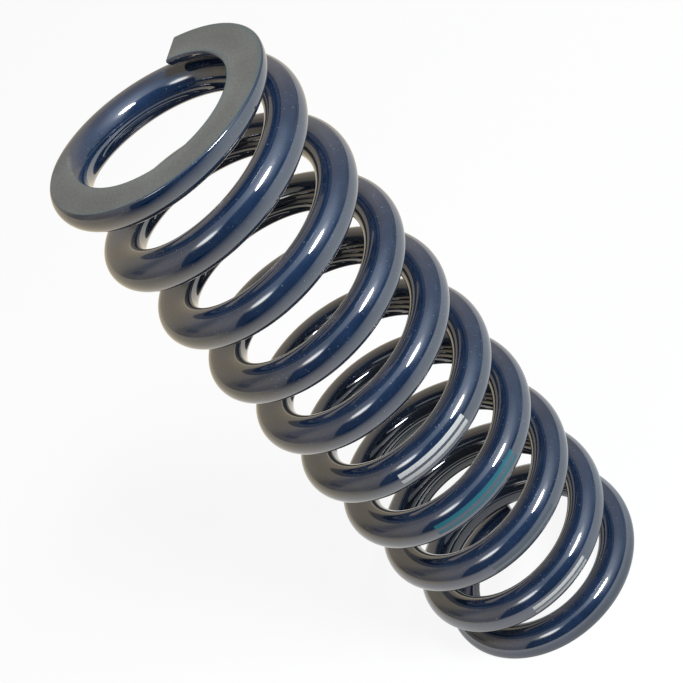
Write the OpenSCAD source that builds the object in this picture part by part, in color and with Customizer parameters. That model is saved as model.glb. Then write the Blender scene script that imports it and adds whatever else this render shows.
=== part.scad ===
// Coilover spring: a right-hand compression spring of round wire with closed and ground ends.
// The origin is on the axis, in the plane of the lower ground face, and +Z runs up the axis.
// The wire is followed from its upper tip, on +X, down to its lower tip, and places along it are
// counted in turns.

/* [Wire] */
// Diameter of the spring wire
wire_d = 15.6; // [13:0.1:16.5]

/* [Coil] */
// Height of the spring standing free
free_length = 300; // [280:1:340]
// Turns of wire from tip to tip
total_turns = 9.94; // [9:0.02:10.5]
// Inside diameter of the end turns, which fit over the spring seats
seat_inside_d = 64; // [58:0.5:76]
// How much wider the turns between them are wound, to stand clear of the damper
body_relief = 3.6; // [0:0.1:6]

/* [Ground ends] */
// Thickness of the wire left at each tip once the end is ground flat
tip_t = 6.2; // [4:0.1:8]
// Gap between each tip and the turn next to it
tip_gap = 2; // [1:0.1:3]
// Angle by which the sheared tips differ from a square cut
tip_shear = 4; // [0:1:15]
// Turns wound nearly closed at each end
closed_turns = 0.6; // [0.5:0.01:0.7]
// Turns over which the winding then opens to the pitch of the body
opening_turns = 0.2; // [0.1:0.01:0.3]
// Turns wound to the seat's diameter at each end
seat_turns = 0.55; // [0.4:0.01:0.8]
// Turns over which the coil then widens to the body's diameter
widening_turns = 0.3; // [0.1:0.01:0.6]

/* [Smoothness] */
// Sections of the wire in each turn
sections_per_turn = 32; // [24:1:32]
// Sides of each section
sides = 18; // [12:2:18]

/* [Hidden] */

wire_r = wire_d / 2;
seat_coil_r = seat_inside_d / 2 + wire_r;
body_coil_r = seat_coil_r + body_relief / 2;

// Height of the wire's centre over the lower ground plane at the lower tip. It is the same
// distance under the upper plane at the upper tip, and below nought when more than half of the
// wire is ground away.
tip_centre = tip_t - wire_r;

// Fall of the wire's centre over the first turn, which leaves the gap under the tip
first_turn_fall = wire_d + tip_gap;

// Pitch of the body, from what is left of the height between the first turn and the last
body_pitch = (free_length - 2 * tip_centre - 2 * first_turn_fall) / (total_turns - 2);

// Pitch of the closed stretch: with it the first turn falls by just what it should
closed_share = closed_turns + opening_turns / 2;
closed_pitch = (first_turn_fall - body_pitch * (1 - closed_share)) / closed_share;

// Turns over which the slant of the sheared tip dies away along the wire
shear_turns = 0.12;

// Radius of the round slab whose flat faces are the two ground planes
slab_r = body_coil_r + 2 * wire_d;

section_count = ceil(total_turns * sections_per_turn);

// A smooth step from 0 to 1
function ramp(x) = let (c = min(1, max(0, x))) c * c * (3 - 2 * c);

// The area under that step from 0 to x
function ramp_area(x) = let (c = min(1, max(0, x))) c ^ 3 - c ^ 4 / 2 + max(0, x - 1);

// At u turns from the nearer tip: how far the pitch has opened, the local pitch, how far the
// wire's centre has moved along the axis since that tip, and the radius of the coil
function opened(u) = ramp((u - closed_turns) / opening_turns);
function pitch(u) = closed_pitch + (body_pitch - closed_pitch) * opened(u);
function travel(u) = closed_pitch * u
    + (body_pitch - closed_pitch) * opening_turns * ramp_area((u - closed_turns) / opening_turns);
function coil_r(u) = seat_coil_r
    + (body_coil_r - seat_coil_r) * ramp((u - seat_turns) / widening_turns);

// Height of the wire's centre at s turns from the upper tip
function height(s) = s < total_turns / 2
    ? free_length - tip_centre - travel(s)
    : tip_centre + travel(total_turns - s);

// How far an upright section is stretched in height, because the wire crosses it on a slope
function stretch(u) = sqrt(1 + (pitch(u) / (2 * PI * coil_r(u))) ^ 2);

// Turn of an upright section about its own middle, which gives the tips their slanted cut
function slant(s) = s < total_turns / 2
    ? tip_shear * (1 - ramp(s / shear_turns))
    : -tip_shear * (1 - ramp((total_turns - s) / shear_turns));

// One section of the wire as a ring of points
function section(s) = let (
        u = min(s, total_turns - s),
        around = -360 * s,
        middle = coil_r(u) * [cos(around), sin(around)],
        outward = [cos(around - slant(s)), sin(around - slant(s))],
        across = wire_r / cos(slant(s)),
        up = wire_r * stretch(u)
    )
    [for (i = [0 : sides - 1])
        let (a = 360 * i / sides, p = middle + across * cos(a) * outward)
        [p[0], p[1], height(s) + up * sin(a)]];

// The whole length of wire as it leaves the winder, before its ends are ground
module wound_wire() {
    points = [
        for (k = [0 : section_count])
            each section(total_turns * k / section_count)
    ];
    skin = [
        for (k = [0 : section_count - 1], i = [0 : sides - 1])
            let (j = (i + 1) % sides, here = k * sides, next = here + sides)
            each [[here + i, next + i, next + j], [here + i, next + j, here + j]]
    ];
    upper_tip = [for (i = [0 : sides - 1]) i];
    lower_tip = [for (i = [sides - 1 : -1 : 0]) section_count * sides + i];
    polyhedron(points, concat([upper_tip, lower_tip], skin), convexity = 20);
}

// The spring: what is left of the wound wire between the two ground planes
module spring() {
    color("#22355c")
        intersection() {
            wound_wire();
            cylinder(h = free_length, r = slab_r, $fn = 64);
        }
}

spring();
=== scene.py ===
# %% [markdown]
# # A coilover spring
#
# A coilover spring is one long steel bar, wound hot or cold into a coil, ground flat at both ends
# and then sprayed with powder that melts into a thick glossy coat. There is only one piece to
# model, so all the care goes into two things: the exact way the bar winds, and the way its coat
# catches the light.
#
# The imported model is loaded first. It is the frame that the finished spring has to match.

# %% Load the frame
import math

import bmesh
import bpy
from mathutils import Matrix, Vector
from mathutils.bvhtree import BVHTree


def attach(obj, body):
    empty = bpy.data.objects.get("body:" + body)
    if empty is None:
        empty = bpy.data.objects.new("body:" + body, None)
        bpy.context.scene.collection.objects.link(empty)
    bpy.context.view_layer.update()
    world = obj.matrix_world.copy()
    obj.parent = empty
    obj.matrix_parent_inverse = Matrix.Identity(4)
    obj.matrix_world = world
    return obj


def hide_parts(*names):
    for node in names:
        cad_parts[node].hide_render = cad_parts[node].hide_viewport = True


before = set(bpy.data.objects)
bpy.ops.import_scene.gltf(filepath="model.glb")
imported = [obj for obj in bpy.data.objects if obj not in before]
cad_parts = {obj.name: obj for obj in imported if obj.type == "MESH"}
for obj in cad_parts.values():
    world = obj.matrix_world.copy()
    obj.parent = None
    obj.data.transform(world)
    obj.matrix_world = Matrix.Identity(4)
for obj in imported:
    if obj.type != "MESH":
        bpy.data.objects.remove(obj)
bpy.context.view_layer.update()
spring_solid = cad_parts["spring"]

MM = 0.001

# %% [markdown]
# ## The sizes
#
# A spring maker orders by a handful of numbers: bar diameter, free length, inside diameter and
# number of turns. The rest says how the ends are closed and ground. They are the same numbers
# that the solid was drawn from, in metres here because that is Blender's unit.
#
# Places along the bar are counted in turns from its upper tip, so 0 is the upper tip, 1 is once
# round, and the last turn ends at the lower tip.

# %% The sizes of the spring
bar_diameter = 15.6 * MM
free_length = 300 * MM
total_turns = 9.94
seat_inside_diameter = 64 * MM
body_relief = 3.6 * MM
tip_thickness = 6.2 * MM
tip_gap = 2 * MM
tip_shear = math.radians(4)
closed_turns = 0.6
opening_turns = 0.2
seat_turns = 0.55
widening_turns = 0.3
shear_turns = 0.12

bar_radius = bar_diameter / 2
seat_coil_radius = seat_inside_diameter / 2 + bar_radius
body_coil_radius = seat_coil_radius + body_relief / 2
tip_centre = tip_thickness - bar_radius
first_turn_fall = bar_diameter + tip_gap
body_pitch = (free_length - 2 * tip_centre - 2 * first_turn_fall) / (total_turns - 2)
closed_share = closed_turns + opening_turns / 2
closed_pitch = (first_turn_fall - body_pitch * (1 - closed_share)) / closed_share

print("pitch of the body", round(body_pitch / MM, 2), "mm, of the closed ends",
      round(closed_pitch / MM, 2), "mm")

# %% [markdown]
# The skin needs a few sizes of its own. The coat gives the ground edges a small radius. Each tip
# has ten rows of points to itself. They take three steps over its flat face, five round its edge,
# and one more that holds the edge crisp.

# %% The sizes of the skin
edge_radius = 0.9 * MM
rows_per_turn = 144
facets_each_side = 32
flat_columns = 5
face_steps = 3
edge_steps = 5
tip_rows = face_steps + edge_steps + 2
hold_distance = 0.3 * MM
merge_distance = 0.008 * MM

full_turn = 2 * math.pi
quarter_turn = math.pi / 2
to_degrees = 180 / math.pi

print(rows_per_turn, "rows to the turn,", tip_rows, "more at each tip")

# %% [markdown]
# ## Writing nodes as sums
#
# Both the shape and the coat are worked out by nodes. Dozens of Math nodes are hard to read when
# each is made by hand, so one small class stands for the value on a socket. A plus, minus, times
# or compare on it adds the Math node that does that sum, and gives back the new value.
#
# Every other kind of node comes from one method, which takes the node's type, its settings and
# what goes into its sockets.

# %% A value on a socket
class Value:
    """The value on one socket of a node tree. Sums on it add Math nodes to the tree."""

    def __init__(self, socket):
        self.socket = socket
        self.tree = socket.id_data

    def sum(self, operation, *others, first=None):
        """A Math node of this value and the others, or of first, this value and the others."""
        node = self.tree.nodes.new("ShaderNodeMath")
        node.operation = operation
        entries = ([] if first is None else [first]) + [self] + list(others)
        for place, entry in enumerate(entries):
            feed(self.tree, node.inputs[place], entry)
        return Value(node.outputs[0])

    def __add__(self, other):
        return self.sum("ADD", other)

    def __radd__(self, other):
        return self.sum("ADD", other)

    def __sub__(self, other):
        return self.sum("SUBTRACT", other)

    def __rsub__(self, other):
        return self.sum("SUBTRACT", first=other)

    def __mul__(self, other):
        return self.sum("MULTIPLY", other)

    def __rmul__(self, other):
        return self.sum("MULTIPLY", other)

    def __truediv__(self, other):
        return self.sum("DIVIDE", other)

    def __rtruediv__(self, other):
        return self.sum("DIVIDE", first=other)

    def __pow__(self, other):
        return self.sum("POWER", other)

    def __neg__(self):
        return self.sum("MULTIPLY", -1)

    def __gt__(self, other):
        return self.sum("GREATER_THAN", other)

    def __lt__(self, other):
        return self.sum("LESS_THAN", other)

    def sine(self):
        return self.sum("SINE")

    def cosine(self):
        return self.sum("COSINE")

    def root(self):
        return self.sum("SQRT")

    def floor(self):
        return self.sum("FLOOR")

    def amount(self):
        """The value without its sign."""
        return self.sum("ABSOLUTE")

    def angle_to(self, across):
        """The angle whose height is this value and whose run is across."""
        return self.sum("ARCTAN2", across)

    def at_least(self, other):
        return self.sum("MAXIMUM", other)

    def at_most(self, other):
        return self.sum("MINIMUM", other)

    def held(self):
        """The value kept between 0 and 1."""
        return self.at_least(0).at_most(1)

    def ramp(self):
        """A smooth step: 0 up to 0, 1 from 1 on, and level at both ends."""
        held = self.held()
        return held * held * (3 - 2 * held)

    def beside(self, name):
        """Another output of the node that this value comes from."""
        return Value(self.socket.node.outputs[name])


def feed(tree, socket, entry):
    """Links a value to a socket, or sets the socket to a plain number, colour or choice."""
    if isinstance(entry, Value):
        tree.links.new(entry.socket, socket)
    else:
        socket.default_value = entry


def add_node(tree, kind, settings=None, entries=None):
    """Any other node: its type, its settings, then the values or links of its sockets."""
    node = tree.nodes.new(kind)
    for name, setting in (settings or {}).items():
        setattr(node, name, setting)
    for name, entry in (entries or {}).items():
        feed(tree, node.inputs[name], entry)
    return Value(node.outputs[0]) if len(node.outputs) else node


# %% [markdown]
# ## How the bar winds
#
# On a real spring the bar isn't a plain helix. Each end turn is wound almost closed and a little
# tighter, so that it sits square on its seat, and the coil between them opens to a wider pitch
# and diameter. The bar could follow a drawn curve, but a curve's own sweep can't grind the ends
# flat with a rounded edge, and a boolean cut leaves ragged faces that shade badly.
#
# So the skin is a plain grid of points instead: rows along the bar, columns round it. Geometry
# Nodes work out where each point goes from its row and column alone. The tree is long, but it
# reads from top to bottom like the maker's drawing.
#
# The named inputs come first. Each size can be changed on the modifier.

# %% A node tree with the sizes as its inputs
coil = bpy.data.node_groups.new("wound_and_ground_coil", "GeometryNodeTree")
coil_sizes = {
    "Bar Radius": bar_radius,
    "Free Length": free_length,
    "Turns": total_turns,
    "Seat Coil Radius": seat_coil_radius,
    "Body Coil Radius": body_coil_radius,
    "Body Pitch": body_pitch,
    "Closed Pitch": closed_pitch,
    "Tip Centre": tip_centre,
    "Tip Shear": tip_shear,
    "Closed Turns": closed_turns,
    "Opening Turns": opening_turns,
    "Seat Turns": seat_turns,
    "Widening Turns": widening_turns,
    "Shear Turns": shear_turns,
    "Edge Radius": edge_radius,
}
coil_counts = {
    "Rows": round(total_turns * rows_per_turn) + 2 * tip_rows,
    "Facets Each Side": facets_each_side,
}
for name in coil_sizes:
    coil.interface.new_socket(name, in_out="INPUT", socket_type="NodeSocketFloat")
for name in coil_counts:
    coil.interface.new_socket(name, in_out="INPUT", socket_type="NodeSocketInt")
coil.interface.new_socket("Coat", in_out="INPUT", socket_type="NodeSocketMaterial")
coil.interface.new_socket("Spring", in_out="OUTPUT", socket_type="NodeSocketGeometry")
given = add_node(coil, "NodeGroupInput")


def size(name):
    """One named input of the tree."""
    return given.beside(name)


print(len(coil_sizes) + len(coil_counts), "named sizes and counts")

# %% [markdown]
# ### Rows and columns
#
# The grid numbers its points one row after another, so a division by the number of columns gives
# the row, and what is left over gives the column. The first ten rows belong to the upper tip and
# the last ten to the lower one. All the others are spread evenly along the bar.

# %% Row, column and place along the bar
columns = size("Facets Each Side") * 2 + 2 * flat_columns + 3
index = add_node(coil, "GeometryNodeInputIndex")
row = ((index + 0.5) / columns).floor()
column = index - row * columns

last_row = size("Rows") - 1
rows_from_tip = row.at_most(last_row - row)


def edge_angle(rows):
    """How far a row has come round the edge of its tip, from nothing to a quarter turn."""
    return ((rows - face_steps) / edge_steps).held() * quarter_turn


def lead(rows):
    """How far a row lies from its tip, in turns, for the rows that shape the tip."""
    hold_step = (rows - (face_steps + edge_steps)).held()
    along = size("Edge Radius") * (1 - edge_angle(rows).cosine()) + hold_step * hold_distance
    return along / (size("Seat Coil Radius") * full_turn)


tip_lead = (size("Edge Radius") + hold_distance) / (size("Seat Coil Radius") * full_turn)
share = ((row - (tip_rows - 1)) / (size("Rows") - (2 * tip_rows - 1))).held()
turn = (lead(row) - lead(last_row - row) + tip_lead
        + (size("Turns") - tip_lead * 2) * share)
from_tip = turn.at_most(size("Turns") - turn)
print(coil_counts["Rows"], "rows of", 2 * facets_each_side + 2 * flat_columns + 3, "columns")

# %% [markdown]
# ### The line of the bar
#
# These are the same rules that the solid was drawn from. Near a tip the pitch is small, then it
# opens smoothly over a fifth of a turn, and the height is the area under that smooth step. The
# coil widens a little earlier than it opens.

# %% Height, radius and slope of the bar
opened = (from_tip - size("Closed Turns")) / size("Opening Turns")
opened_held = opened.held()
opened_area = (opened_held ** 3 - opened_held ** 4 * 0.5 + (opened - 1).at_least(0))
extra_pitch = size("Body Pitch") - size("Closed Pitch")
pitch_here = size("Closed Pitch") + extra_pitch * opened.ramp()
travel = size("Closed Pitch") * from_tip + extra_pitch * size("Opening Turns") * opened_area

extra_radius = size("Body Coil Radius") - size("Seat Coil Radius")
widened = ((from_tip - size("Seat Turns")) / size("Widening Turns")).ramp()
coil_radius_here = size("Seat Coil Radius") + extra_radius * widened

in_lower_half = turn > size("Turns") * 0.5
from_plane = size("Tip Centre") + travel
height = (size("Free Length") - from_plane) * (1 - in_lower_half) + from_plane * in_lower_half

slope = pitch_here / (coil_radius_here * full_turn)
stretch = (slope * slope + 1).root()
shear_left = 1 - (from_tip / size("Shear Turns")).ramp()
slant = size("Tip Shear") * shear_left * (1 - 2 * in_lower_half)
print(len(coil.nodes), "nodes wind the bar")

# %% [markdown]
# ### The section of the bar
#
# A section is a circle until a ground plane cuts it. Then it is what is left of the circle, a
# flat, and a small round where the two meet. Each column keeps one direction in which the skin
# faces, so a column slides from the circle onto the round as the cut deepens, and the skin never
# folds. A few columns more lie across each flat. Where there is no flat they all meet in one
# point and are merged at the end.

# %% Which way each column faces
columns_round = columns - 1
wrapped = column - columns_round * (column > columns_round - 0.5)
half_columns = size("Facets Each Side") + (flat_columns + 1)
on_inner_side = wrapped > half_columns - 0.5
side = 1 - 2 * on_inner_side
step = wrapped - half_columns * on_inner_side
facing = (step.at_most(size("Facets Each Side")) / size("Facets Each Side") * math.pi
          - quarter_turn) * side
across_flat = ((step - size("Facets Each Side")).at_least(0)
               * (math.pi / (flat_columns + 1))).cosine()
print(2 * facets_each_side, "facets round the bar,", flat_columns, "columns across each flat")

# %% The circle, the flats and the rounds between them
room_above = ((size("Free Length") - height) / stretch).at_most(size("Bar Radius"))
room_below = (height / stretch).at_most(size("Bar Radius"))
inner_radius = size("Bar Radius") - size("Edge Radius")


def round_of(room):
    """The middle of the round at the edge of a flat, and the direction where it starts."""
    up = room - size("Edge Radius")
    out = (inner_radius * inner_radius - up * up).at_least(0).root()
    return out, up, up.angle_to(out)


# A direction has to pass the start of the round by this much, so that rounding can't tip it over
hair = 1e-5

out_above, up_above, start_above = round_of(room_above)
out_below, up_below, start_below = round_of(room_below)
on_upper_round = (facing - hair) > start_above
on_lower_round = (-facing - hair) > start_below
on_circle = 1 - on_upper_round - on_lower_round

middle_across = (out_above * on_upper_round + out_below * on_lower_round) * across_flat
middle_up = up_above * on_upper_round - up_below * on_lower_round
reach = size("Bar Radius") * on_circle + size("Edge Radius") * (1 - on_circle)
print("rounds of", round(edge_radius / MM, 2), "mm at the ground edges")

# %% [markdown]
# ### The tips
#
# The bar was sheared off, so each tip ends in a flat face. Its rows first shrink to a point in
# the middle of that face, then step round the edge.

# %% The rounded edge and the flat face of the tips
# A power over 1 sets the rows on the face closer together towards its edge
face_spacing = 2.3

inset = size("Edge Radius") * (1 - edge_angle(rows_from_tip).sine())
shrink = (1 - rows_from_tip / face_steps).at_least(0) ** face_spacing

across = (middle_across + (reach - inset) * facing.cosine()) * side
up = middle_up + (reach - inset) * facing.sine()
face_middle = (room_above - room_below) * 0.5
across = across * (1 - shrink)
up = up + (face_middle - up) * shrink
print(len(coil.nodes), "nodes with the section and the tips")

# %% [markdown]
# ### Every point in its place
#
# Now each point has a place in its section, and each section a place on the coil. Two things are
# stored on the skin for the coat to read later: where a point lies on the bar, and how far it is
# on a ground face.

# %% From the section to the coil
around = turn * -full_turn
leaning = around - slant
wide = across / slant.cosine()
place = add_node(coil, "ShaderNodeCombineXYZ", None, {
    "X": coil_radius_here * around.cosine() + wide * leaning.cosine(),
    "Y": coil_radius_here * around.sine() + wide * leaning.sine(),
    "Z": height + stretch * up,
})
on_bar = add_node(coil, "ShaderNodeCombineXYZ", None, {
    "X": across / size("Bar Radius"),
    "Y": up / size("Bar Radius"),
    "Z": turn,
})
print("a point's place comes from", len(coil.nodes), "nodes")

# %% Which points are on a ground face
least_cut = 0.02 * MM
flat_from, flat_over = 0.94, 0.06

has_flat_above = room_above < size("Bar Radius") - least_cut
has_flat_below = room_below < size("Bar Radius") - least_cut
steepness = facing.sine()
ground = (has_flat_above * ((steepness - flat_from) / flat_over).ramp()
          + has_flat_below * ((-steepness - flat_from) / flat_over).ramp())
print("a cut counts as a flat from", round(least_cut / MM, 3), "mm")

# %% The grid becomes the skin of the spring
grid = add_node(coil, "GeometryNodeMeshGrid", None, {
    "Vertices X": size("Rows"),
    "Vertices Y": columns,
})
wound = add_node(coil, "GeometryNodeSetPosition", None, {"Geometry": grid, "Position": place})
for name, kind, entry in (("on_bar", "FLOAT_VECTOR", on_bar), ("ground", "FLOAT", ground)):
    wound = add_node(coil, "GeometryNodeStoreNamedAttribute",
                     {"data_type": kind, "domain": "POINT"},
                     {"Geometry": wound, "Name": name, "Value": entry})
closed_skin = add_node(coil, "GeometryNodeMergeByDistance", None,
                       {"Geometry": wound, "Distance": merge_distance})
outwards = add_node(coil, "GeometryNodeFlipFaces", None, {"Mesh": closed_skin})
smooth = add_node(coil, "GeometryNodeSetShadeSmooth", None, {"Geometry": outwards})
real = add_node(coil, "GeometryNodeRealizeInstances", None, {"Geometry": smooth})
coated = add_node(coil, "GeometryNodeSetMaterial", None,
                  {"Geometry": real, "Material": size("Coat")})
add_node(coil, "NodeGroupOutput", None, {"Spring": coated})
print("the coil's tree has", len(coil.nodes), "nodes")

# %% [markdown]
# ## The coat
#
# Powder coat is a thick, slightly wavy, very glossy plastic skin. On this spring it is a deep navy
# with a little pearl in it, and a clear gloss over that. Most of what the eye sees on it is the
# studio: the pale floor along the lower side of each turn, a dark band where the room is dark, and
# the lamps as bright spindles. So the finish needs a strong clean reflection over a dark colour.
#
# A picture could be wrapped round the bar, but noise worked out in three dimensions has no seam
# and runs through the whole coil, so the coat uses that. The places of the stripes come from the
# values that the winding stored on the skin.

# %% Helpers for finishes
def empty_tree(owner):
    """The node tree of a material or world, with nothing in it yet."""
    owner.use_nodes = True
    owner.node_tree.nodes.clear()
    return owner.node_tree


def parts(vector):
    """The X, Y and Z of a vector, each as a value."""
    split = add_node(vector.tree, "ShaderNodeSeparateXYZ", None, {"Vector": vector})
    return tuple(split.beside(axis) for axis in "XYZ")


def mixed(share, first, second):
    """The first colour where share is 0, the second where it is 1."""
    # A Mix node has sockets for numbers, vectors and colours. These are its colour sockets.
    return add_node(share.tree, "ShaderNodeMix", {"data_type": "RGBA"},
                    {0: share, 6: first, 7: second}).beside(2)


def step_up(value, start, end):
    """0 where the value is under start, 1 where it is over end, smooth between."""
    return ((value - start) / (end - start)).ramp()


# %% An empty material for the coat
coat = bpy.data.materials.new("navy_gloss_coat")
coat_tree = empty_tree(coat)
in_metres = add_node(coat_tree, "ShaderNodeTexCoord").beside("Object")


def cloud(per_metre, detail, place=in_metres):
    """Soft noise with so many waves to the metre. It lies around a half."""
    return add_node(coat_tree, "ShaderNodeTexNoise", None,
                    {"Vector": place, "Scale": per_metre, "Detail": detail})


print(coat.name, "is ready, with", len(coat_tree.nodes), "node in it")

# %% [markdown]
# ### Where on the bar
#
# The winding stored three numbers on each point: how far it lies outwards and upwards from the
# middle of the bar, counted in bar radii, and how many turns from the upper tip. The first two
# give the angle round the bar, from 0 on the outside of the coil to a quarter turn on top.

# %% Read what the winding stored
on_skin = add_node(coat_tree, "ShaderNodeAttribute",
                   {"attribute_name": "on_bar"}).beside("Vector")
bar_out, bar_up, skin_turn = parts(on_skin)
skin_angle = bar_up.angle_to(bar_out)
from_end = skin_turn.at_most(total_turns - skin_turn)
ground_share = add_node(coat_tree, "ShaderNodeAttribute",
                        {"attribute_name": "ground"}).beside("Fac")
print(len(coat_tree.nodes), "nodes say where on the bar a spot is")

# %% [markdown]
# ### Navy with a little pearl
#
# The colour drifts slowly along the bar, as sprayed powder does. Tiny flakes in it are paler. The
# inside of the coil between its end turns is painted nearly black, as painted shade. Here and
# there a speck of dust has been caught in the coat. At one place under the first turn, and at the
# end of the tip, the coat is chipped.
#
# Each of these is one soft mask, mixed over what came before. A mask costs a few nodes and can be
# moved or turned down by itself, which a single painted picture can't.

# %% Colour of the coat
navy = (0.0105, 0.0340, 0.095, 1)
navy_lit = (0.0140, 0.0430, 0.116, 1)
haze = (0.0320, 0.0680, 0.163, 1)
pearl = (0.060, 0.110, 0.230, 1)

drift = step_up(cloud(38, 3), 0.35, 0.65)
patches = step_up(cloud(110, 3), 0.42, 0.66)
flakes = step_up(cloud(1500, 1), 0.58, 0.74)
colour = mixed(drift, navy, navy_lit)
colour = mixed(patches * 0.35, colour, haze)
colour = mixed(flakes * patches * 0.5, colour, pearl)
print("drift, patches and flakes:", len(coat_tree.nodes), "nodes so far")

# %% Painted shade on the inside of the coil
inside_shade_black = (0.007, 0.010, 0.015, 1)
inside_from, inside_to = 0.95, 1.35
faces_inwards = step_up(-bar_out, 0.20, 0.80)
past_end_turns = step_up(from_end, inside_from, inside_to)
# Painted shade: past the end turns, the inside of the coil is mixed towards near black
colour = mixed(faces_inwards * past_end_turns * 0.80, colour, inside_shade_black)
print("the inside darkens from turn", inside_from, "to", inside_to, "from each tip")

# %% Specks of dust
dust = (0.33, 0.42, 0.50, 1)
dusty = step_up(cloud(22, 2), 0.38, 0.55)


def specks(per_metre, radius, rarity):
    """Round dots, at most one to a cell. Rarity is the share of cells that have none."""
    cells = add_node(coat_tree, "ShaderNodeTexVoronoi", None,
                     {"Vector": in_metres, "Scale": per_metre})
    chance = add_node(coat_tree, "ShaderNodeSeparateColor", None,
                      {"Color": cells.beside("Color")})
    return (1 - cells / radius).held() * (chance > rarity)


large_specks = (240, 0.10, 0.45)
small_specks = (520, 0.16, 0.20)
speck = (specks(*large_specks) + specks(*small_specks) * dusty).held()
colour = mixed(speck * 0.8, colour, dust)
for per_metre, radius, _ in (large_specks, small_specks):
    print("specks up to", round(2 * radius / per_metre / MM, 2), "mm across")

# %% Chips in the coat
# For each chip: its turn, half its length in turns, its angle and half its width in degrees
knocks = (
    (0.306, 0.008, -38, 12),
    (0.002, 0.005, -35, 40),
)
dark_steel = (0.008, 0.008, 0.008, 1)
fade = 0.11

chip = None
for middle_turn, half_turns, middle_angle, half_degrees in knocks:
    beside_turn = (skin_turn - middle_turn).amount() / half_turns
    beside_angle = (skin_angle - math.radians(middle_angle)).amount() / math.radians(half_degrees)
    here = step_up(cloud(850, 2) - beside_turn * fade - beside_angle * fade, 0.37, 0.42)
    chip = here if chip is None else chip.at_least(here)
colour = mixed(chip, colour, dark_steel)
print(len(knocks), "chips")

# %% [markdown]
# ### The ground faces
#
# The ends are ground flat before the powder goes on. The coat is thinner there and the grinding
# marks show through it, so a face is finely mottled and less sharp. Its grey is painted reflection
# of the bright studio in the flat, paler towards the inside of the coil. Along its edge a paler,
# greener line is partly where the coat thins and partly a painted highlight on the rounded edge.
# The winding knows where a face is cut. Only where the face runs out, between a half and three
# quarters of a turn from the tip, is the height a better guide, because there the real edge is
# feathered.

# %% Where the coat is thin
skin_height = parts(in_metres)[2]
feather = (cloud(260, 2) - 0.5) * 0.5 * MM
under_plane = skin_height.at_most(free_length - skin_height) + feather
run_out_from, run_out_to = 0.54, 0.70
run_out = step_up(from_end, run_out_from, run_out_to)
near_plane = 1 - step_up(under_plane, -0.1 * MM, 1.0 * MM)
on_face = step_up(ground_share, 0.35, 0.95) * (1 - run_out) + near_plane * run_out
on_edge = step_up(ground_share, 0.0, 0.3) * (1 - on_face) * (1 - run_out)
print("the faces run out from turn", run_out_from, "to", run_out_to, "from each tip")

# %% Colour of the ground faces, with painted reflection and a painted edge highlight
# The grey and pale grey of the faces are painted reflection of the bright studio
face_reflection_grey = (0.135, 0.143, 0.143, 1)
face_reflection_pale = (0.300, 0.312, 0.308, 1)
edge_teal_and_highlight = (0.075, 0.205, 0.240, 1)

mottle = step_up(cloud(900, 2), 0.30, 0.70) * 0.25 + step_up(cloud(30, 2), 0.35, 0.65) * 0.25
# Painted reflection: the face is paler towards the inside of the coil
inner_rim = step_up(-bar_out, -0.1, 0.9)
face_colour = mixed(mottle + inner_rim * 0.25 + 0.22, face_reflection_grey, face_reflection_pale)
to_rim = step_up(bar_out.amount(), 0.60, 1.0)
# Painted highlight, in part: the face turns paler teal towards its rims
face_colour = mixed(to_rim * 0.45, face_colour, edge_teal_and_highlight)
colour = mixed(on_face, colour, face_colour)
# A paler teal line on the rounded edge: partly a thinner coat, partly a painted highlight
colour = mixed(on_edge * 0.90, colour, edge_teal_and_highlight)
print("navy, dust, chips and ground faces:", len(coat_tree.nodes), "nodes so far")

# %% [markdown]
# ### Printed stripes
#
# Springs are often marked with printed stripes. These are plain double stripes, white or teal,
# and an older one that has nearly worn off. The ink lies on top of the gloss and dulls it.

# %% The stripes
white_ink = (0.93, 0.95, 0.95, 1)
teal_ink = (0.044, 0.250, 0.320, 1)
faint_ink = (0.085, 0.135, 0.165, 1)
ink_wear = step_up(cloud(700, 3), 0.22, 0.34)

# For each stripe: its first and last turn, the angle of its middle and half its width in degrees,
# its ink, and how well the ink covers
stripes = (
    (5.357, 5.474, 10, 19, white_ink, 0.95),
    (6.335, 6.485, 10, 19, teal_ink, 0.9),
    (7.340, 7.460, -7, 18, faint_ink, 0.6),
    (8.354, 8.456, -3, 17, white_ink, 0.95),
)
half_gap = 4
soft_degrees = 0.8
soft_turns = 0.001


def double_stripe(first_turn, last_turn, middle_angle, half_width):
    """A mask of two thin stripes along the bar, one on each side of their gap."""
    from_middle = (skin_angle - math.radians(middle_angle)).amount() * to_degrees
    band = (step_up(from_middle, half_gap, half_gap + soft_degrees)
            * (1 - step_up(from_middle, half_width - soft_degrees, half_width)))
    length = (step_up(skin_turn, first_turn, first_turn + soft_turns)
              * (1 - step_up(skin_turn, last_turn - soft_turns, last_turn)))
    return band * length * ink_wear


inked = None
for *where, ink, cover in stripes:
    mask = double_stripe(*where) * cover
    colour = mixed(mask, colour, ink)
    inked = mask if inked is None else inked + mask
print(len(stripes), "double stripes")

# %% [markdown]
# ### Gloss
#
# The pearl layer has a soft gloss of its own and takes the fine waviness of the powder. The clear
# layer over it is smooth and sharp. The ground faces are rougher.
#
# The waves of the coat and the faint lines along the bar, which are left from drawing the steel,
# bend the reflections a little. They are too shallow to model, so a Bump node makes them.

# %% The relief of the coat
along_bar = add_node(coat_tree, "ShaderNodeMapping", None,
                     {"Vector": on_skin, "Scale": (1, 1, 2)})
draw_marks = cloud(2.6, 3, along_bar)
waviness = cloud(70, 1) * 0.030 + cloud(420, 2) * 0.014 + draw_marks * 0.060
grain = cloud(1300, 3) * 0.006
face_lines = add_node(coat_tree, "ShaderNodeMapping", None,
                      {"Vector": in_metres, "Rotation": (0, 0, 0.5), "Scale": (0.06, 1.6, 1)})
grind = cloud(900, 2, face_lines) * 0.010
relief = ((waviness + speck * 0.05 + inked * 0.012 - chip * 0.10) * (1 - on_face)
          + (grain + grind) * on_face)
bump = add_node(coat_tree, "ShaderNodeBump", None,
                {"Strength": 1.0, "Distance": MM, "Height": relief})
print("colour and relief:", len(coat_tree.nodes), "nodes so far")

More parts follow.
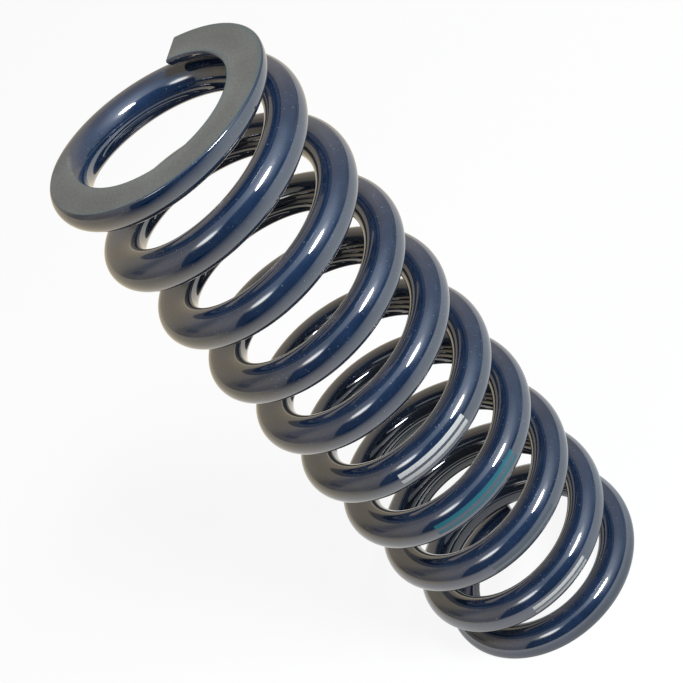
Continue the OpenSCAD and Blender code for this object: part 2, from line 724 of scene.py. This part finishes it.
# %% The shader of the coat
gloss = add_node(coat_tree, "ShaderNodeBsdfPrincipled", None, {
    "Base Color": colour,
    "Metallic": 0.60 * (1 - on_face) * (1 - inked) * (1 - speck),
    "Roughness": 0.70 + cloud(220, 2) * 0.06 - on_face * 0.34,
    "IOR": 1.1,
    "Normal": bump,
    "Coat Weight": 1 - on_face.at_least(chip).at_least(inked) * 0.75,
    "Coat Roughness": 0.040,
    "Coat IOR": 2.08,
})
add_node(coat_tree, "ShaderNodeOutputMaterial", None, {"Surface": gloss})
print("the coat has", len(coat_tree.nodes), "nodes")

# %% [markdown]
# ## Making the spring
#
# The tree runs on an empty mesh.

# %% Run the tree and keep its result
def add_object(name, content):
    """A new object in the scene."""
    thing = bpy.data.objects.new(name, content)
    bpy.context.scene.collection.objects.link(thing)
    return thing


spring_coil = add_object("spring_coil", bpy.data.meshes.new("spring_coil"))
winding = spring_coil.modifiers.new("winding", "NODES")
winding.node_group = coil
entries = {**coil_sizes, **coil_counts, "Coat": coat}
for socket in coil.interface.items_tree:
    if socket.in_out == "INPUT":
        winding[socket.identifier] = entries[socket.name]

bpy.context.view_layer.update()
evaluated = spring_coil.evaluated_get(bpy.context.evaluated_depsgraph_get())
finished = bpy.data.meshes.new_from_object(evaluated)
spring_coil.modifiers.remove(winding)
spring_coil.data = finished
finished.name = "spring_coil"
# The grid brings an empty material slot with it, ahead of the coat's
finished.materials.pop(index=0)
finished.calc_loop_triangles()
print(len(finished.vertices), "points,", len(finished.loop_triangles), "triangles")

# %% [markdown]
# A closed skin has a volume, and it is only above nought when the faces point outwards. The
# volume times the density of steel is also the weight of the spring. One point in seven is enough
# to see how far the skin lies from the solid that it stands for.

# %% Measure the finished skin
STEEL_DENSITY = 7850
MILLILITRE = 1e-6
measured = bmesh.new()
measured.from_mesh(finished)
volume = measured.calc_volume(signed=True)
open_edges = sum(1 for edge in measured.edges if not edge.is_manifold)
measured.free()
print("volume", round(volume / MILLILITRE, 1), "ml, weight", round(volume * STEEL_DENSITY, 2),
      "kg,", open_edges, "open edges")

solid_tree = BVHTree.FromPolygons(
    [v.co for v in spring_solid.data.vertices],
    [p.vertices for p in spring_solid.data.polygons])
off = [solid_tree.find_nearest(v.co)[3] for v in list(finished.vertices)[::7]]
print("the skin lies at most", round(max(off) / MM, 3), "mm from the solid")

# %% Hand the spring to the frame
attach(spring_coil, "root")
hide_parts("spring")
print("the skin stands for the solid of the frame")

# %% [markdown]
# ## The studio
#
# A plain pale floor, soft light from a cloth tent and two softboxes, and a camera at the angle
# from which the spring is best seen: well above it and rolled, so that the coil runs across the
# frame.

# %% The camera
camera = add_object("camera", bpy.data.cameras.new("camera"))
camera_place = Vector((-0.46392, -0.29516, 0.56565))
looks_at = Vector((-0.00066, 0.00103, 0.17106))
roll = math.radians(-40.91)
facing_away = (looks_at - camera_place).to_track_quat("-Z", "Y").to_matrix().to_4x4()
camera.matrix_world = (Matrix.Translation(camera_place) @ facing_away
                       @ Matrix.Rotation(roll, 4, "Z"))
camera.data.sensor_width = 36
camera.data.lens = 89.07
bpy.context.scene.camera = camera
print("the camera is", round((looks_at - camera_place).length, 2), "m away")

# %% [markdown]
# ### Directions in the studio
#
# Gloss shows the room, so the room has to be dark and bright in the right places. Directions are
# counted as on a map: degrees round from +X, and degrees up from the floor. The camera stands at
# about -148 degrees.

# %% Helpers for directions and rays
def direction(azimuth, elevation):
    """The unit vector towards so many degrees round and so many up."""
    a, e = math.radians(azimuth), math.radians(elevation)
    return Vector((math.cos(a) * math.cos(e), math.sin(a) * math.cos(e), math.sin(e)))


def degrees_from(x, y, azimuth):
    """The angle round from a direction to the point x, y, from -180 to 180 degrees."""
    turned = math.radians(azimuth)
    ahead = x * math.cos(turned) + y * math.sin(turned)
    aside = y * math.cos(turned) - x * math.sin(turned)
    return aside.angle_to(ahead) * to_degrees


def within(angle, half_width, soft):
    """1 where an angle is small, 0 where it is large, with so many degrees of soft edge."""
    return 1 - step_up(angle.amount(), half_width - soft / 2, half_width + soft / 2)


def seen_rays(tree):
    """1 for rays from the camera, reflections and glass, and 0 for the light itself."""
    path = add_node(tree, "ShaderNodeLightPath")
    return (path.beside("Is Camera Ray") + path.beside("Is Glossy Ray")
            + path.beside("Is Transmission Ray")).held()


from_spring_to_camera = camera_place - Vector((0, 0, free_length / 2))
print("the camera stands at", round(math.degrees(math.atan2(*from_spring_to_camera.yx))),
      "degrees round")

# %% [markdown]
# ### The floor and the white behind everything
#
# The floor is plain white paper. It has to look white to the camera and in the gloss of the
# spring, yet still hold the soft shadow. So the paper glows with most of its white, and only for
# rays that are seen, and the lamps add the rest.
#
# In the gloss alone, a painted shadow darkens the paper under the coil, and the paper darkens away
# from the coil on the camera's side. There it is a little cooler, and on the far side a little
# warmer, as in a real room.

# %% How the floor looks in the gloss
floor_paper = bpy.data.materials.new("white_paper")
paper_tree = empty_tree(floor_paper)
paper_spot = add_node(paper_tree, "ShaderNodeTexCoord").beside("Object")
paper_x, paper_y, _ = parts(paper_spot)
mirrored = add_node(paper_tree, "ShaderNodeLightPath").beside("Is Glossy Ray")


def round_paper(azimuth):
    """The angle round the spring on the floor, from a direction."""
    return degrees_from(paper_x, paper_y, azimuth)


# Distances on the floor are in metres from the spring's axis
from_spring = (paper_x * paper_x + paper_y * paper_y).root()
camera_side = within(round_paper(-172), 47, 50)
fall_off = 1 - 1 / (1 + (from_spring / 0.55) ** 2)
far_side = within(round_paper(100), 85, 50)
# Painted shadow: under and just round the coil, the paper is darker in the gloss
under_coil = 1 - step_up(from_spring, 0.035, 0.085)
shade = (camera_side * fall_off * 0.9
         + far_side * step_up(from_spring, 0.15, 0.90) * 0.25 + under_coil * 0.5)

plain_white = (1, 1, 1, 1)
paper_warm = within(round_paper(80), 85, 90) * step_up(from_spring, 0, 0.5)
paper_cool = within(round_paper(-95), 60, 60)
paper_colour = mixed(mirrored * paper_warm, plain_white, (1, 0.87, 0.64, 1))
paper_colour = mixed(mirrored * paper_cool, paper_colour, (0.92, 0.99, 1, 1))
print(len(paper_tree.nodes), "nodes shade the floor")

# %% The floor
# The share of its white that the paper glows with by itself. The lamps add the rest.
camera_glow = 0.91
paper = add_node(paper_tree, "ShaderNodeBsdfDiffuse", None, {"Color": (0.15, 0.15, 0.15, 1)})
white = add_node(paper_tree, "ShaderNodeEmission", None, {
    "Color": paper_colour,
    "Strength": (seen_rays(paper_tree) * (camera_glow + mirrored * (1 - camera_glow))
                 * (1 - mirrored * shade)),
})
shown = add_node(paper_tree, "ShaderNodeAddShader", None, {0: paper, 1: white})
add_node(paper_tree, "ShaderNodeOutputMaterial", None, {"Surface": shown})

floor_reach = 8
floor_mesh = bpy.data.meshes.new("floor")
floor_mesh.from_pydata(
    [(-floor_reach, -floor_reach, 0), (floor_reach, -floor_reach, 0),
     (floor_reach, floor_reach, 0), (-floor_reach, floor_reach, 0)], [], [(0, 1, 2, 3)])
floor_mesh.materials.append(floor_paper)
floor = add_object("floor", floor_mesh)
print("the floor is", 2 * floor_reach, "m wide")

# %% [markdown]
# The world is white too, for a view that looks past the floor. It lights the spring with half of
# that white.

# %% The world
world = bpy.data.worlds.new("studio")
bpy.context.scene.world = world
world_tree = empty_tree(world)
sky = add_node(world_tree, "ShaderNodeBackground", None, {
    "Color": plain_white,
    "Strength": 0.5 + seen_rays(world_tree) * 0.5,
})
add_node(world_tree, "ShaderNodeOutputWorld", None, {"Surface": sky})
print("the world has", len(world_tree.nodes), "nodes")

# %% [markdown]
# ### The tent
#
# A photographer hangs pale cloth round a shiny object and leaves one side open to the dark room.
# The reflection of that opening is what draws the deep navy band along each turn. Here the cloth
# is a half sphere that glows faintly, with a dark opening behind the camera. The camera itself
# looks straight through it.

# %% A half sphere of pale cloth
tent_radius = 4.0
tent_mesh = bpy.data.meshes.new("tent")
shell = bmesh.new()
bmesh.ops.create_uvsphere(shell, u_segments=64, v_segments=32, radius=tent_radius)
below = [v for v in shell.verts if v.co.z < -0.01]
bmesh.ops.delete(shell, geom=below, context="VERTS")
shell.to_mesh(tent_mesh)
shell.free()
tent = add_object("tent", tent_mesh)
tent.visible_camera = False
tent.visible_shadow = False
print("the tent has", len(tent_mesh.polygons), "faces")

# %% [markdown]
# The cloth isn't evenly bright. It glows a little more near the floor on the far side, has a few
# dim folds there, and is brightest round the two lamps. Each such place is added or taken away in
# a line of its own, by its direction and its width in degrees.

# %% Directions on the cloth
cloth = bpy.data.materials.new("tent_cloth")
cloth_tree = empty_tree(cloth)
spot = add_node(cloth_tree, "ShaderNodeTexCoord").beside("Object")
spot_x, spot_y, spot_z = parts(spot)
upward = (spot_z / tent_radius).held().sum("ARCSINE") * to_degrees


def round_cloth(azimuth):
    """The angle round the tent from a direction."""
    return degrees_from(spot_x, spot_y, azimuth)


def glow(azimuth, elevation, width):
    """A soft round glow on the cloth. Its width is in degrees."""
    ahead_x, ahead_y, ahead_z = direction(azimuth, elevation)
    near = (spot_x * ahead_x + spot_y * ahead_y + spot_z * ahead_z) / tent_radius
    # The arc cosine has no value past 1, and a spot on the cloth can be a hair past it
    off_axis = near.at_most(0.99999).sum("ARCCOSINE") * to_degrees
    return 1 - step_up(off_axis, 0, width)


print(len(cloth_tree.nodes), "nodes find the way on the cloth")

# %% Where the cloth is bright
# Low is 1 on the lower half of the tent and fades out above it
low = 1 - step_up(upward, 36, 54)
level = 0.43 + step_up(upward, 55, 75) * 0.04
level = level + within(round_cloth(28), 45, 30) * low * 0.21
level = level + within(round_cloth(125), 20, 20) * low * step_up(upward, 8, 26) * 0.20
level = level * (1 - within(round_cloth(88), 10, 8) * low * 0.22)
level = level * (1 - within(round_cloth(94), 8, 6) * within(upward - 20, 5, 5) * 0.45)
lamp_glow = glow(-108, 54, 44)
level = level + lamp_glow * 1.0 + glow(-116, 46, 20) * 3.0
level = level + glow(160, 54, 30) * 0.25 + glow(165, 45, 17) * 3.0
print("the cloth's brightness takes", len(cloth_tree.nodes), "nodes so far")

# %% [markdown]
# Low on one side the room behind the cloth shows through in dark wisps. The opening itself reaches
# higher at the end near the main lamp, and a dimmer gap runs on from there near the floor.

# %% The dark wisps
stretched = add_node(cloth_tree, "ShaderNodeMapping", None,
                     {"Vector": spot, "Scale": (0.5, 0.5, 4)})
wisps = add_node(cloth_tree, "ShaderNodeTexNoise", None,
                 {"Vector": stretched, "Scale": 1.6, "Detail": 3.0})
wisps_up_to = 22
level = level * (1 - step_up(wisps, 0.45, 0.62) * within(round_cloth(-50), 45, 50)
                 * (1 - step_up(upward, 10, wisps_up_to)) * 0.45)
print("wisps up to", wisps_up_to, "degrees above the floor")

# %% The dark opening
opening_from, opening_to = -42, 66
past_middle = round_cloth(187.5)
opening_top = 37 + step_up(past_middle, -18, 10) * 15
opening = (step_up(past_middle, opening_from, -39) * (1 - step_up(past_middle, 42, opening_to))
           * (1 - step_up(upward, opening_top - 4, opening_top + 7)))
low_gap = (step_up(past_middle, 25, 35) * (1 - step_up(past_middle, 76, 98))
           * (1 - step_up(upward, 8, 20)))
level = level * (1 - opening.at_least(low_gap * 0.80) * 0.90)
print("the opening is", opening_to - opening_from, "degrees wide with its soft edges")

# %% [markdown]
# The cloth is cream where the room is lit by warm lamps and bluish where daylight reaches it. Only
# the gloss sees its full glow. As a source of light it would be noisy and too even, so scattered
# rays get little of it, and the world and the softboxes light the spring instead.

# %% The colour of the cloth
warm_side = within(round_cloth(70), 85, 90)
cool_side = within(round_cloth(-95), 50, 60)
cool_top = within(round_cloth(-165), 50, 50) * step_up(upward, 40, 60)
cloth_colour = mixed(warm_side, (1.0, 0.975, 0.94, 1), (1.0, 0.86, 0.64, 1))
cloth_colour = mixed(cool_side, cloth_colour, (0.82, 0.93, 1.0, 1))
cloth_colour = mixed(cool_top, cloth_colour, (0.80, 0.91, 1.0, 1))
cloth_colour = mixed(lamp_glow * 0.7, cloth_colour, plain_white)
scattered = add_node(cloth_tree, "ShaderNodeLightPath").beside("Is Diffuse Ray")
cloth_light = add_node(cloth_tree, "ShaderNodeEmission", None,
                       {"Color": cloth_colour, "Strength": level * (1 - scattered * 0.92)})
add_node(cloth_tree, "ShaderNodeOutputMaterial", None, {"Surface": cloth_light})
cloth.cycles.emission_sampling = "NONE"
tent_mesh.materials.append(cloth)
print("the cloth has", len(cloth_tree.nodes), "nodes")

# %% [markdown]
# ### The lamps
#
# Two oval softboxes hang on either side of the camera, wider than they are tall. The main one is
# much the brighter. Each is small as seen from the spring, so its reflection is a bright spindle
# along the bar. Blender counts a lamp in watts, so the wattage is worked out from how bright its
# cloth should look.

# %% Two softboxes
def softbox(name, azimuth, elevation, half_angles, brightness):
    """An oval area lamp that looks at the spring and shines evenly all over its face. Its half
    angles are half its width and half its height in degrees, as the spring sees them."""
    distance = 2.2
    middle = Vector((0, 0, free_length / 2))
    away = direction(azimuth, elevation)
    half_width, half_height = (distance * math.tan(math.radians(angle)) for angle in half_angles)
    lamp = bpy.data.lights.new(name, "AREA")
    lamp.shape = "ELLIPSE"
    lamp.size = 2 * half_width
    lamp.size_y = 2 * half_height
    lamp.color = (0.95, 0.975, 1.0)
    lamp.energy = math.pi * (math.pi * half_width * half_height) * brightness
    holder = add_object(name, lamp)
    holder.location = middle + away * distance
    holder.rotation_mode = "QUATERNION"
    holder.rotation_quaternion = (-away).to_track_quat("-Z", "Y")
    holder.visible_camera = False
    print(name, round(lamp.energy, 1), "W")


softbox("main_softbox", -116, 46, (9.6, 5.6), 47)
softbox("side_softbox", 165, 45, (9.6, 6.2), 2.8)

bpy.context.scene.view_settings.view_transform = "Standard"
